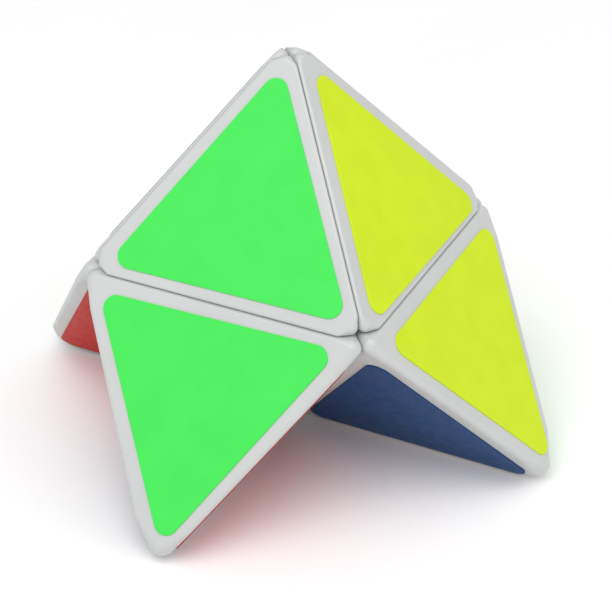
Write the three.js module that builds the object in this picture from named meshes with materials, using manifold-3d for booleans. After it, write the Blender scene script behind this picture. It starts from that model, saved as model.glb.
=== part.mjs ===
// Pyramid twisty puzzle with two layers to an edge, twisted so that it stands on its four points.
// Millimetres, +Z up, front towards -Y. The origin lies on the surface that the points stand on,
// under the middle of the mechanism.
//
// Eight corner pieces fill the eight octants round the middle. The four upper ones carry one face
// each, and the four lower ones carry the points of the pyramid and three faces each. Inside, each
// corner piece has a foot that hooks under hidden edge pieces, and the edge pieces hook under six
// round caps. Every surface between two pieces is a sphere or a cone about an axis of turning.
import * as THREE from "three";
import { ConvexGeometry } from "three/addons/geometries/ConvexGeometry.js";
import { mergeVertices } from "three/addons/utils/BufferGeometryUtils.js";
import Module from "manifold-3d";

const wasm = await Module();
wasm.setup();

// ---- Driving dimensions: the outside ----
const PYRAMID_EDGE = 90; // sharp edge of the solved pyramid
const SEAM = 0.3; // gap between two neighbouring pieces
const WALL = 1.6; // thickness of the shells
const SEAM_ROUND = 0.6; // rounding along the seams
const EDGE_ROUND = 0.7; // rounding of a leg's outer edges
const CORNER_CUT = 1.5; // depth that a leg's outer corners are cut back
const POINT_DEPTH = 3.4; // depth that its point is cut back
const ROUND_STEPS = 2; // facets across a rounded edge

// ---- Driving dimensions: the stickers ----
const STICKER_SCALE = 0.831; // sticker edge over face edge, both sharp
const STICKER_ROUND = 1.9; // radius of the sticker's corners
const STICKER_THICKNESS = 0.15;
const GLUE_GAP = 0.05; // between a sticker and the plastic under it

// ---- Driving dimensions: the mechanism, as radii about its middle and angles from an axis ----
const BALL_RADIUS = 7.4; // core
const FOOT_INNER = 7.8; // layer that holds every foot and stem
const FOOT_OUTER = 10.7;
const LID_INNER = 11.2; // layer that holds the caps and the heads of the edge pieces
const LID_OUTER = 14.4;
const PLATE_INNER = 15.3; // plates that close the shells from inside
const PLATE_OUTER = 16.4;
const SHELL_BORE = 15.8; // round hollow in the shells that clears the mechanism
const LID_CONE = THREE.MathUtils.degToRad(62);
const FOOT_CONE = THREE.MathUtils.degToRad(71);
const STALK_ANGLE = THREE.MathUtils.degToRad(11.5); // from a stalk's middle line to its edges
const NECK_RADIUS = 2.8; // joins the two layers of an edge piece
const NECK_FACETS = 8;
const POST_RADIUS = 2.2; // post on a leg's plate
const POST_END = 34;

// ---- Driving dimensions: caps, screws and springs, as distances along their own axis ----
const WEB_TOP = 9.4; // seat of the spring inside a cap
const WELL_RADIUS = 2.4;
const WEB_HOLE_RADIUS = 1.2;
const SCREW_RADIUS = 0.95;
const SCREW_HOLE_RADIUS = 1.15;
const SCREW_TIP = 2.6;
const SCREW_HOLE_END = 2.0;
const HEAD_RADIUS = 2.1;
const HEAD_SEAT = 12.4;
const HEAD_HEIGHT = 1.4;
const RECESS = { length: 2.4, width: 0.5, depth: 0.6 };
const PEG_RADIUS = 1.7;
const PEG_HOLE_RADIUS = 2.0;
const PEG_END = 4.6;
const SPRING = { radius: 1.7, wire: 0.22, turns: 3.5, steps: 42, endGap: 0.07 };

// ---- Facets ----
const ROUND_FACETS = 24; // spheres and cones, a multiple of 12 so that turned halves match
const CAP_FACETS = 18;
const SMALL_FACETS = 12;
const WIRE_HALF_FACETS = 3; // half the sides of the spring wire

// ---- Values that follow ----
const HALF = PYRAMID_EDGE / (2 * Math.SQRT2); // middle of the puzzle to the middle of a pyramid edge
const FACE_EDGE = PYRAMID_EDGE / 2;
const FACE_DISTANCE = HALF / Math.sqrt(3);
const EDGE_DEPTH = (Math.sqrt(3) - 1) * EDGE_ROUND; // what that rounding takes off an edge on the ground
const MIDDLE_HEIGHT = HALF - EDGE_DEPTH;
const PLATE_INSET = SEAM / 2 + WALL + SEAM;
const REACH = 2 * PYRAMID_EDGE; // longer than anything in the puzzle
const QUARTER = Math.PI / 2;

const X = new THREE.Vector3(1, 0, 0);
const Y = new THREE.Vector3(0, 1, 0);
const Z = new THREE.Vector3(0, 0, 1);
const AXES = {
  top: Z,
  bottom: Z.clone().negate(),
  right: X,
  left: X.clone().negate(),
  back: Y,
  front: Y.clone().negate(),
};
const CORNERS = ["front_left", "front_right", "back_right", "back_left"]; // a quarter turn apart
const SIDES = ["front", "right", "back", "left"];
const SPRUNG = ["top", "right", "front"]; // axes whose caps float on a spring
const FIXED = ["bottom", "left", "back"];

const FINISH = {
  white: { color: 0xdddfe2, roughness: 0.35, metalness: 0 },
  inner: { color: 0xc9ccd0, roughness: 0.5, metalness: 0 },
  steel: { color: 0xa9acb0, roughness: 0.3, metalness: 0.9 },
  green: { color: 0x55f06c, roughness: 0.45, metalness: 0 },
  yellow: { color: 0xd6ec38, roughness: 0.45, metalness: 0 },
  blue: { color: 0x2b5c93, roughness: 0.45, metalness: 0 },
  red: { color: 0xd8443c, roughness: 0.45, metalness: 0 },
};
// One colour for each corner, in the order of CORNERS.
const FACE_COLOURS = ["green", "yellow", "red", "blue"];
const UNDER_COLOURS = ["red", "green", "green", "red"]; // under face beside SIDES[k]
const NEXT_UNDER_COLOURS = ["blue", "blue", "yellow", "yellow"]; // under face beside SIDES[k - 1]

// ---- Solids ----

// A closed geometry as a solid that can be joined and cut.
function solid(geometry) {
  geometry.deleteAttribute("normal");
  geometry.deleteAttribute("uv");
  const merged = mergeVertices(geometry, 1e-4);
  const index = merged.index.array;
  const triVerts = [];
  for (let i = 0; i < index.length; i += 3) {
    const [a, b, c] = [index[i], index[i + 1], index[i + 2]];
    if (a !== b && b !== c && c !== a) triVerts.push(a, b, c);
  }
  return new wasm.Manifold(
    new wasm.Mesh({
      numProp: 3,
      vertProperties: merged.attributes.position.array,
      triVerts: new Uint32Array(triVerts),
    }),
  );
}

// A joined or cut solid as a geometry again.
function geometryOf(body) {
  const mesh = body.getMesh();
  const geometry = new THREE.BufferGeometry();
  geometry.setAttribute("position", new THREE.BufferAttribute(mesh.vertProperties, 3));
  geometry.setIndex(new THREE.BufferAttribute(mesh.triVerts, 1));
  const flat = geometry.toNonIndexed();
  flat.computeVertexNormals();
  return flat;
}

function turned(geometry, axis) {
  return geometry.applyQuaternion(new THREE.Quaternion().setFromUnitVectors(Y, axis));
}

function ball(radius) {
  return solid(turned(new THREE.SphereGeometry(radius, ROUND_FACETS, ROUND_FACETS / 2), Z));
}

function layer(inner, outer) {
  return ball(outer).subtract(ball(inner));
}

// A cone from the middle of the puzzle along an axis, shifted along it by half a seam's worth.
function cone(axis, angle, side) {
  const apex = (side * SEAM) / 2 / Math.sin(angle);
  const profile = [
    new THREE.Vector2(0, apex),
    new THREE.Vector2((HALF - apex) * Math.tan(angle), HALF),
    new THREE.Vector2(0, HALF),
  ];
  return solid(turned(new THREE.LatheGeometry(profile, ROUND_FACETS), axis));
}

function keepInside(body, axes, angle) {
  return axes.reduce((kept, axis) => kept.intersect(cone(axis, angle, 1)), body);
}

function keepOutside(body, axes, angle) {
  return axes.reduce((kept, axis) => kept.subtract(cone(axis, angle, -1)), body);
}

function rod(axis, radius, from, to, facets = SMALL_FACETS) {
  const geometry = new THREE.CylinderGeometry(radius, radius, to - from, facets);
  geometry.translate(0, (from + to) / 2, 0);
  return solid(turned(geometry, axis));
}

// ---- Rounded convex bodies ----

// The point where the first three of some planes meet, each moved in by inset.
function meet(planes, inset) {
  const [a, b, c] = planes;
  const bc = b.normal.clone().cross(c.normal);
  const ca = c.normal.clone().cross(a.normal);
  const ab = a.normal.clone().cross(b.normal);
  return bc
    .multiplyScalar(a.distance - inset)
    .addScaledVector(ca, b.distance - inset)
    .addScaledVector(ab, c.distance - inset)
    .divideScalar(a.normal.dot(b.normal.clone().cross(c.normal)));
}

// Points on the patch of a sphere that rounds the corner between three planes.
function cornerPatch({ planes, round }) {
  const centre = meet(planes, round);
  const [a, b, c] = planes.map(({ normal }) => normal);
  const points = [];
  for (let i = 0; i <= ROUND_STEPS; i++)
    for (let j = 0; j <= ROUND_STEPS; j++) {
      const direction = a.clone().lerp(b, i / ROUND_STEPS);
      direction.lerp(c, j / ROUND_STEPS).normalize();
      points.push(centre.clone().addScaledVector(direction, round));
    }
  return points;
}

// The corners that are left where another plane cuts off the vertex inside a ring of planes.
function cutBack(ring, cut) {
  return ring.map((first, i) => rounded([first, ring[(i + 1) % ring.length], cut]));
}

// A corner between three planes, rounded like the edge between the first two: an outer edge where
// both are outer faces, and a seam where one is a cut through the middle.
function rounded(planes) {
  const outer = planes[0].distance > 0 && planes[1].distance > 0;
  return { planes, round: outer ? EDGE_ROUND : SEAM_ROUND };
}

function roundedBody(corners) {
  return solid(new ConvexGeometry(corners.flatMap(cornerPatch)));
}

function insetBody(corners, inset) {
  return solid(new ConvexGeometry(corners.map(({ planes }) => meet(planes, inset))));
}

// ---- Shells ----

function plane(x, y, z, distance) {
  return { normal: new THREE.Vector3(x, y, z).normalize(), distance };
}

// Corners of the upper front left piece, a quarter of an octahedron's upper half.
function upperCorners() {
  const cutX = plane(1, 0, 0, -SEAM / 2);
  const cutY = plane(0, 1, 0, -SEAM / 2);
  const cutZ = plane(0, 0, -1, -SEAM / 2);
  const face = plane(-1, -1, 1, FACE_DISTANCE);
  return [
    rounded([cutX, cutY, face]),
    rounded([cutY, cutZ, face]),
    rounded([cutZ, cutX, face]),
    rounded([cutX, cutY, cutZ]),
  ];
}

// Corners of the lower front left piece, which ends in a point.
function legCorners() {
  const cutX = plane(1, 0, 0, -SEAM / 2);
  const cutY = plane(0, 1, 0, -SEAM / 2);
  const cutZ = plane(0, 0, 1, -SEAM / 2);
  const face = plane(-1, -1, 1, FACE_DISTANCE);
  const underFront = plane(1, -1, -1, FACE_DISTANCE);
  const underLeft = plane(-1, 1, -1, FACE_DISTANCE);
  const cutDistance = FACE_DISTANCE - CORNER_CUT;
  return [
    ...cutBack([cutZ, face, underLeft, cutY], plane(-1, 1, 1, cutDistance)),
    ...cutBack([cutZ, face, underFront, cutX], plane(1, -1, 1, cutDistance)),
    ...cutBack([cutX, underFront, underLeft, cutY], plane(1, 1, -1, cutDistance)),
    ...cutBack([face, underFront, underLeft], plane(-1, -1, -1, 3 * FACE_DISTANCE - POINT_DEPTH)),
    rounded([cutX, cutY, cutZ]),
  ];
}

// A hollow shell, open towards the mechanism.
function shell(corners) {
  const hollow = insetBody(corners, WALL);
  return geometryOf(roundedBody(corners).subtract(hollow).subtract(ball(SHELL_BORE)));
}

// ---- Mechanism ----

// Three-sided stalk that widens outwards, between the lid cones of three axes round a diagonal.
function stalkAlong(diagonal, from, to) {
  const spread = Math.tan(STALK_ANGLE);
  const geometry = new THREE.CylinderGeometry(to * spread, from * spread, to - from, 3);
  geometry.translate(0, (from + to) / 2, 0);
  const up = Z.clone().addScaledVector(diagonal, -Z.dot(diagonal)).normalize();
  const across = diagonal.clone().cross(up);
  return solid(geometry.applyMatrix4(new THREE.Matrix4().makeBasis(across, diagonal, up)));
}

// Foot, stalk and closing plate of the corner piece in the octant +X +Y +Z.
function foot(withPost) {
  const axes = [X, Y, Z];
  const diagonal = new THREE.Vector3(1, 1, 1).normalize();
  const octant = solid(
    new THREE.BoxGeometry(REACH, REACH, REACH).translate(
      REACH / 2 + PLATE_INSET,
      REACH / 2 + PLATE_INSET,
      REACH / 2 + PLATE_INSET,
    ),
  );
  const hook = keepInside(layer(FOOT_INNER, FOOT_OUTER), axes, FOOT_CONE);
  const stalk = stalkAlong(diagonal, FOOT_OUTER - SEAM, PLATE_INNER + SEAM);
  const plate = layer(PLATE_INNER, PLATE_OUTER).intersect(octant);
  const body = hook.add(stalk).add(plate);
  return geometryOf(
    withPost ? body.add(rod(diagonal, POST_RADIUS, PLATE_INNER + SEAM, POST_END)) : body,
  );
}

// Hidden edge piece between the axes +X and +Z.
function innerEdge() {
  const holders = [X, Z];
  const others = [Y, AXES.front];
  const lid = keepOutside(
    keepInside(layer(LID_INNER, LID_OUTER), holders, LID_CONE),
    others,
    LID_CONE,
  );
  const hook = keepOutside(
    keepInside(layer(FOOT_INNER, FOOT_OUTER), holders, FOOT_CONE),
    others,
    FOOT_CONE,
  );
  const between = new THREE.Vector3(1, 0, 1).normalize();
  const neck = rod(between, NECK_RADIUS, FOOT_OUTER - SEAM, LID_INNER + SEAM, NECK_FACETS);
  return geometryOf(hook.add(neck).add(lid));
}

// Points on an arc about the middle of the puzzle, as radius from the axis and distance along it.
function arc(radius, fromAngle, toAngle, steps) {
  return Array.from({ length: steps + 1 }, (_, i) => {
    const angle = fromAngle + ((toAngle - fromAngle) * i) / steps;
    return new THREE.Vector2(radius * Math.sin(angle), radius * Math.cos(angle));
  });
}

// Angle from the axis at which a sphere meets the cap's side, half a seam clear of the edge pieces.
function sideAngle(radius, coneAngle) {
  return QUARTER - coneAngle - Math.asin(SEAM / 2 / radius);
}

// Outside of a cap, from the foot of its stem to its dome, ending where the dome is rimAngle away.
function capOutline(rimAngle) {
  const stemSlope = Math.tan(QUARTER - FOOT_CONE);
  const clearance = SEAM / 2 / Math.sin(FOOT_CONE);
  return [
    new THREE.Vector2(FOOT_INNER * stemSlope - clearance, FOOT_INNER),
    ...arc(LID_INNER, sideAngle(LID_INNER, FOOT_CONE), sideAngle(LID_INNER, LID_CONE), 1),
    ...arc(LID_OUTER, sideAngle(LID_OUTER, LID_CONE), rimAngle, 3),
  ];
}

function sprungCap() {
  const outline = capOutline(Math.asin(WELL_RADIUS / LID_OUTER));
  const inside = [
    new THREE.Vector2(WELL_RADIUS, WEB_TOP),
    new THREE.Vector2(WEB_HOLE_RADIUS, WEB_TOP),
    new THREE.Vector2(WEB_HOLE_RADIUS, FOOT_INNER),
  ];
  return turned(new THREE.LatheGeometry([...outline, ...inside, outline[0]], CAP_FACETS), Z);
}

function fixedCap() {
  const peg = [
    new THREE.Vector2(0, PEG_END),
    new THREE.Vector2(PEG_RADIUS, PEG_END),
    new THREE.Vector2(PEG_RADIUS, FOOT_INNER),
  ];
  return turned(new THREE.LatheGeometry([...peg, ...capOutline(0)], CAP_FACETS), Z);
}

function core() {
  const screwHoles = SPRUNG.map((side) =>
    rod(AXES[side], SCREW_HOLE_RADIUS, SCREW_HOLE_END, FOOT_INNER),
  );
  const pegHoles = FIXED.map((side) =>
    rod(AXES[side], PEG_HOLE_RADIUS, PEG_END - SEAM, FOOT_INNER),
  );
  return geometryOf(
    [...screwHoles, ...pegHoles].reduce((body, hole) => body.subtract(hole), ball(BALL_RADIUS)),
  );
}

function screw() {
  const profile = [
    new THREE.Vector2(0, SCREW_TIP),
    new THREE.Vector2(SCREW_RADIUS, SCREW_TIP + SCREW_RADIUS),
    new THREE.Vector2(SCREW_RADIUS, HEAD_SEAT),
    new THREE.Vector2(HEAD_RADIUS, HEAD_SEAT),
    new THREE.Vector2(HEAD_RADIUS, HEAD_SEAT + HEAD_HEIGHT / 2),
    new THREE.Vector2(HEAD_RADIUS * 0.7, HEAD_SEAT + HEAD_HEIGHT * 0.9),
    new THREE.Vector2(0, HEAD_SEAT + HEAD_HEIGHT),
  ];
  const top = HEAD_SEAT + HEAD_HEIGHT;
  const blades = [0, QUARTER].map((angle) => {
    const blade = new THREE.BoxGeometry(RECESS.length, RECESS.width, 2 * RECESS.depth);
    return solid(blade.rotateZ(angle).translate(0, 0, top));
  });
  const body = solid(turned(new THREE.LatheGeometry(profile, SMALL_FACETS), Z));
  return geometryOf(blades.reduce((cut, blade) => cut.subtract(blade), body));
}

class Helix extends THREE.Curve {
  getPoint(t, target = new THREE.Vector3()) {
    const low = WEB_TOP + SPRING.endGap + SPRING.wire;
    const high = HEAD_SEAT - SPRING.endGap - SPRING.wire;
    const angle = 2 * Math.PI * SPRING.turns * t;
    return target.set(
      SPRING.radius * Math.cos(angle),
      SPRING.radius * Math.sin(angle),
      low + (high - low) * t,
    );
  }
}

function spring() {
  const wire = new THREE.Shape().absarc(0, 0, SPRING.wire, 0, 2 * Math.PI);
  return new THREE.ExtrudeGeometry(wire, {
    steps: SPRING.steps,
    curveSegments: WIRE_HALF_FACETS,
    extrudePath: new Helix(),
  });
}

// ---- Stickers ----

function sticker() {
  const reach = (FACE_EDGE * STICKER_SCALE) / Math.sqrt(3) - 2 * STICKER_ROUND;
  const outline = new THREE.Shape();
  for (const degrees of [90, 210, 330]) {
    const angle = THREE.MathUtils.degToRad(degrees);
    outline.absarc(
      reach * Math.cos(angle),
      reach * Math.sin(angle),
      STICKER_ROUND,
      angle - Math.PI / 3,
      angle + Math.PI / 3,
    );
  }
  const options = { depth: STICKER_THICKNESS, bevelEnabled: false, curveSegments: ROUND_STEPS };
  return new THREE.ExtrudeGeometry(outline, options);
}

// Lays a sticker on the face with three sharp corners, one corner of the sticker towards the first.
function layOnFace(mesh, corners) {
  const [apex, second, third] = corners.map((corner) => new THREE.Vector3(...corner));
  const middle = apex.clone().add(second).add(third).divideScalar(3);
  const up = apex.clone().sub(middle).normalize();
  const out = second.clone().sub(apex).cross(third.clone().sub(apex)).normalize();
  const across = up.clone().cross(out);
  mesh.quaternion.setFromRotationMatrix(new THREE.Matrix4().makeBasis(across, up, out));
  mesh.position.copy(middle.multiplyScalar(HALF)).addScaledVector(out, GLUE_GAP);
}

// ---- Assembly ----

const mechanism = new THREE.Group();
mechanism.position.z = MIDDLE_HEIGHT;

function add(name, geometry, finish, parent = mechanism) {
  const mesh = new THREE.Mesh(geometry, new THREE.MeshStandardMaterial(FINISH[finish]));
  mesh.name = name;
  parent.add(mesh);
  return mesh;
}

// Turns a piece that was built along +Z so that it lies along another axis.
function pointAlong(mesh, axis) {
  mesh.quaternion.setFromUnitVectors(Z, axis);
}

function addCentres() {
  add("core", core(), "inner");
  for (const side of SPRUNG) {
    pointAlong(add(`cap_${side}`, sprungCap(), "inner"), AXES[side]);
    pointAlong(add(`screw_${side}`, screw(), "steel"), AXES[side]);
    pointAlong(add(`spring_${side}`, spring(), "steel"), AXES[side]);
  }
  for (const side of FIXED) pointAlong(add(`cap_${side}`, fixedCap(), "inner"), AXES[side]);
}

// Turns the edge piece from between +X and +Z to between two other axes.
function addInnerEdge(first, second, geometry) {
  const mesh = add(`edge_${first}_${second}`, geometry, "inner");
  const [x, z] = [AXES[second], AXES[first]];
  const basis = new THREE.Matrix4().makeBasis(x, z.clone().cross(x), z);
  mesh.quaternion.setFromRotationMatrix(basis);
}

function addInnerEdges() {
  const geometry = innerEdge();
  for (const side of SIDES) {
    addInnerEdge("top", side, geometry);
    addInnerEdge("bottom", side, geometry);
  }
  for (const end of ["front", "back"])
    for (const side of ["left", "right"]) addInnerEdge(end, side, geometry);
}

// The upper front left piece faces the corners top, left and front of the middle octahedron.
const UPPER_FACE = [[0, 0, 1], [-1, 0, 0], [0, -1, 0]];
// The front left leg's faces, each from its point to two corners of the octahedron.
const LEG_FACE = [[-1, -1, -1], [0, -1, 0], [-1, 0, 0]];
const LEG_UNDER_FRONT = [[-1, -1, -1], [0, 0, -1], [0, -1, 0]];
const LEG_UNDER_LEFT = [[-1, -1, -1], [-1, 0, 0], [0, 0, -1]];

function addCorners() {
  const pieces = {
    upperShell: shell(upperCorners()),
    upperFoot: foot(false).rotateZ(Math.PI),
    legShell: shell(legCorners()),
    legFoot: foot(true).applyQuaternion(
      new THREE.Quaternion().setFromAxisAngle(new THREE.Vector3(1, -1, 0).normalize(), Math.PI),
    ),
    sticker: sticker(),
  };
  CORNERS.forEach((corner, k) => {
    const quarter = new THREE.Group();
    quarter.rotation.z = k * QUARTER;
    mechanism.add(quarter);
    add(`upper_shell_${corner}`, pieces.upperShell, "white", quarter);
    add(`upper_foot_${corner}`, pieces.upperFoot, "inner", quarter);
    add(`leg_shell_${corner}`, pieces.legShell, "white", quarter);
    add(`leg_foot_${corner}`, pieces.legFoot, "inner", quarter);
    const [beside, before] = [SIDES[k], SIDES[(k + 3) % 4]];
    const faces = [
      [`sticker_upper_${corner}`, FACE_COLOURS[k], UPPER_FACE],
      [`sticker_leg_${corner}_outer`, FACE_COLOURS[k], LEG_FACE],
      [`sticker_leg_${corner}_under_${beside}`, UNDER_COLOURS[k], LEG_UNDER_FRONT],
      [`sticker_leg_${corner}_under_${before}`, NEXT_UNDER_COLOURS[k], LEG_UNDER_LEFT],
    ];
    for (const [name, colour, face] of faces)
      layOnFace(add(name, pieces.sticker, colour, quarter), face);
  });
}

addCentres();
addInnerEdges();
addCorners();

const puzzle = new THREE.Group();
puzzle.add(mechanism);

export default puzzle;
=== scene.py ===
"""Pyramid twisty puzzle, twisted so that it stands on its four points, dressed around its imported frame.

The frame gives the places: the points stand on the ground plane, and the middle of the mechanism is
as high over it as the box is wide on either side. The white shells and the stickers are built with
fine rounding, the hidden mechanism with smooth turned surfaces, and every finish is a node material.

Shapes are made in millimetres about the middle of the mechanism, and Layout.place() takes them into
the frame. The corner pieces are built once, for the front left corner, and turned by quarter turns.
"""

import logging
import math
from collections.abc import Iterable, Sequence
from dataclasses import dataclass, field
from enum import Enum
from itertools import product

import bmesh
import bpy
from mathutils import Matrix, Vector


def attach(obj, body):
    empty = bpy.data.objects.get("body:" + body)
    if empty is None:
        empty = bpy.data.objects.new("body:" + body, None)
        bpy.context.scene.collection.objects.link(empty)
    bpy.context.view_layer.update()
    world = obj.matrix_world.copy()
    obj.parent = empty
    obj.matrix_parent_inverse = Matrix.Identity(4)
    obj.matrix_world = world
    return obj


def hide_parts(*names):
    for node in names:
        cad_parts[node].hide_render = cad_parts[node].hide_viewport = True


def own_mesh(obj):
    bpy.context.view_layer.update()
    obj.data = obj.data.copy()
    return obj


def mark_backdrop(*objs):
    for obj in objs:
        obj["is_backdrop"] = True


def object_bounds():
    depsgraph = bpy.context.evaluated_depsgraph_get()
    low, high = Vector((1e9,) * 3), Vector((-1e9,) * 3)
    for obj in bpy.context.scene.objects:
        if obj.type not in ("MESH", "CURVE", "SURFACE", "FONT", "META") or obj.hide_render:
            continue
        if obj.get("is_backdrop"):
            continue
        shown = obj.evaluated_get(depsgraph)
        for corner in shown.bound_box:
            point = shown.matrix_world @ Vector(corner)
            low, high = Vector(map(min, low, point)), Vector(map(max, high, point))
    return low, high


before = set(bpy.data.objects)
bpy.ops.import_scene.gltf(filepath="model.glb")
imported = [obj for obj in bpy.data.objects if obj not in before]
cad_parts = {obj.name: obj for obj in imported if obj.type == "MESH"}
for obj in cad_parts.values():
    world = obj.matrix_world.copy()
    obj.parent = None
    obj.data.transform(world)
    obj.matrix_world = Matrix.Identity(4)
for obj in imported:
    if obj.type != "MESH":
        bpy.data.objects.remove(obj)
CAD_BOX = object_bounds()

LOG = logging.getLogger("puzzle")
MM = 0.001
QUARTER_TURN = math.pi / 2
UP = Vector((0.0, 0.0, 1.0))
DIAGONAL = Vector((1.0, 1.0, 1.0)).normalized()

# Mesh making, in millimetres and degrees.
ON_AXIS = 1e-6  # a profile point this close to the axis lies on it
SAME_POINT = 1e-4  # hull points this close together are one
SAME_THREAD_POINT = 1e-5  # the same for the finer thread
FLAT_DEGREES = 0.2  # hull facets that turn by less than this lie in one plane
SHARP_DEGREES = 32.0  # edges that turn by more than this stay sharp
CURVED_SHARP_DEGREES = 60.0  # the same for pieces with coarse curves
FILLET_SHARE = 0.49  # share of a profile's side that one fillet may take up
DOME_SHARE = 0.5  # height of a wire's end over its radius
BALL_FACETS = 96
ROD_FACETS = 48
FILLET_STEPS = 6
NOISE_MIDDLE = (0.3, 0.7)  # values between which nearly all of a noise lies

Colour = tuple[float, float, float]
Step = tuple[str, bpy.types.Mesh]
Dressing = tuple[bpy.types.Material, str]
ProfilePoint = tuple[Vector, float]


# ---------------------------------------------------------------------------------------------
# Names
# ---------------------------------------------------------------------------------------------


class Body(Enum):
    """Rigid bodies of the frame that pieces ride on."""

    LOWER = "lower_half"
    UPPER = "upper_half"
    TOP_CAP = "top_cap"
    RIGHT_CAP = "right_cap"
    FRONT_CAP = "front_cap"


class Slot(Enum):
    """Material slots of the record, apart from the stickers' slots."""

    WHITE = "white_plastic"
    INNER = "inner_plastic"
    STEEL = "steel"


class Corner(Enum):
    """Corners seen from above, with the number of quarter turns from the front left one."""

    FRONT_LEFT = 0
    FRONT_RIGHT = 1
    BACK_RIGHT = 2
    BACK_LEFT = 3

    @property
    def label(self) -> str:
        """The corner's part of a node name."""
        return self.name.lower()

    @property
    def turn(self) -> Matrix:
        """Rotation from the front left corner to this one."""
        return Matrix.Rotation(self.value * QUARTER_TURN, 3, "Z")


class Side(Enum):
    """Upright sides, with the number of quarter turns from the front."""

    FRONT = 0
    RIGHT = 1
    BACK = 2
    LEFT = 3

    @property
    def label(self) -> str:
        """The side's part of a node name."""
        return self.name.lower()

    @classmethod
    def beside(cls, corner: Corner, steps: int) -> "Side":
        """The side that lies some quarter turns on from a corner's own side."""
        return cls((corner.value + steps) % len(cls))


class Axis(Enum):
    """Axes of turning, out of the middle."""

    TOP = (0.0, 0.0, 1.0)
    BOTTOM = (0.0, 0.0, -1.0)
    RIGHT = (1.0, 0.0, 0.0)
    LEFT = (-1.0, 0.0, 0.0)
    BACK = (0.0, 1.0, 0.0)
    FRONT = (0.0, -1.0, 0.0)

    @property
    def label(self) -> str:
        """The axis's part of a node name."""
        return self.name.lower()

    @property
    def direction(self) -> Vector:
        """Unit vector along the axis."""
        return Vector(self.value)

    @property
    def turn(self) -> Matrix:
        """Rotation from the upright axis to this one."""
        return UP.rotation_difference(self.direction).to_matrix()


class Hue(Enum):
    """Sticker colours, as linear red, green and blue."""

    GREEN = (0.060, 0.720, 0.095)
    YELLOW = (0.585, 0.745, 0.011)
    BLUE = (0.004, 0.052, 0.170)
    RED = (0.530, 0.014, 0.008)

    @property
    def slot(self) -> str:
        """The record's material slot for this colour."""
        return f"sticker_{self.name.lower()}"


SPRUNG_BODIES = {Axis.TOP: Body.TOP_CAP, Axis.RIGHT: Body.RIGHT_CAP, Axis.FRONT: Body.FRONT_CAP}
FIXED_AXES = (Axis.BOTTOM, Axis.LEFT, Axis.BACK)

FACE_HUES = {
    Corner.FRONT_LEFT: Hue.GREEN,
    Corner.FRONT_RIGHT: Hue.YELLOW,
    Corner.BACK_RIGHT: Hue.RED,
    Corner.BACK_LEFT: Hue.BLUE,
}
# Under faces of each leg: beside its own side, and beside the side before that.
UNDER_HUES = {
    Corner.FRONT_LEFT: (Hue.RED, Hue.BLUE),
    Corner.FRONT_RIGHT: (Hue.GREEN, Hue.BLUE),
    Corner.BACK_RIGHT: (Hue.GREEN, Hue.YELLOW),
    Corner.BACK_LEFT: (Hue.RED, Hue.YELLOW),
}


# ---------------------------------------------------------------------------------------------
# Mesh tools
# ---------------------------------------------------------------------------------------------


def mesh_of(name: str, form: bmesh.types.BMesh) -> bpy.types.Mesh:
    """Turns a BMesh into a mesh and frees it."""
    mesh = bpy.data.meshes.new(name)
    form.to_mesh(mesh)
    form.free()
    return mesh


def turned_mesh(name: str, profile: Sequence[Vector], facets: int) -> bpy.types.Mesh:
    """Revolves a profile about the upright axis.

    Args:
        name: Name of the mesh.
        profile: Points as (radius, height). It starts and ends on the axis, or closes on itself.
        facets: Number of facets round the axis.

    Returns:
        A closed mesh with its faces pointing out.
    """
    form = bmesh.new()
    rings = []
    for radius, height in profile:
        if radius < ON_AXIS:
            rings.append([form.verts.new((0.0, 0.0, height))] * facets)
            continue
        angles = [2 * math.pi * i / facets for i in range(facets)]
        ring = [form.verts.new((radius * math.cos(a), radius * math.sin(a), height)) for a in angles]
        rings.append(ring)
    pairs = list(zip(rings, rings[1:]))
    if profile[0][0] > ON_AXIS:
        pairs.append((rings[-1], rings[0]))
    for lower, upper in pairs:
        for i in range(facets):
            k = (i + 1) % facets
            corners = list(dict.fromkeys([lower[i], lower[k], upper[k], upper[i]]))
            if len(corners) > 2:
                form.faces.new(corners)
    bmesh.ops.recalc_face_normals(form, faces=form.faces)
    return mesh_of(name, form)


def arc_profile(radius: float, start: float, end: float, steps: int) -> list[Vector]:
    """Profile points on an arc about the middle, by angle from the upright axis."""
    angles = [start + (end - start) * i / steps for i in range(steps + 1)]
    return [Vector((radius * math.sin(angle), radius * math.cos(angle))) for angle in angles]


def fillet(before: Vector, corner: Vector, after: Vector, radius: float) -> list[Vector]:
    """Rounds one corner of a profile.

    Args:
        before: The profile's point before the corner.
        corner: The corner.
        after: The profile's point after it.
        radius: Radius of the rounding. It is made smaller where the profile has no room for it.

    Returns:
        The points that take the corner's place.
    """
    inward, outward = (before - corner), (after - corner)
    half_angle = inward.angle(outward) / 2
    room = FILLET_SHARE * min(inward.length, outward.length)
    reach = min(radius / math.tan(half_angle), room)
    inward, outward = inward.normalized(), outward.normalized()
    middle = corner + (inward + outward).normalized() * reach / math.cos(half_angle)
    start, end = corner + inward * reach - middle, corner + outward * reach - middle
    points = []
    for i in range(FILLET_STEPS + 1):
        spoke = start.to_3d().slerp(end.to_3d(), i / FILLET_STEPS)
        points.append(middle + spoke.to_2d().normalized() * start.length)
    return points


def rounded_profile(points: Sequence[ProfilePoint], closed: bool) -> list[Vector]:
    """Rounds the corners of a profile.

    Args:
        points: The profile's points, each with the radius of its rounding, or 0 for none.
        closed: Whether the profile closes on itself.

    Returns:
        The points of the rounded profile.
    """
    rounded = []
    for i, (point, radius) in enumerate(points):
        if radius and (closed or 0 < i < len(points) - 1):
            before, after = points[i - 1][0], points[(i + 1) % len(points)][0]
            rounded.extend(fillet(before, point, after, radius))
        else:
            rounded.append(point)
    return rounded


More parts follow.
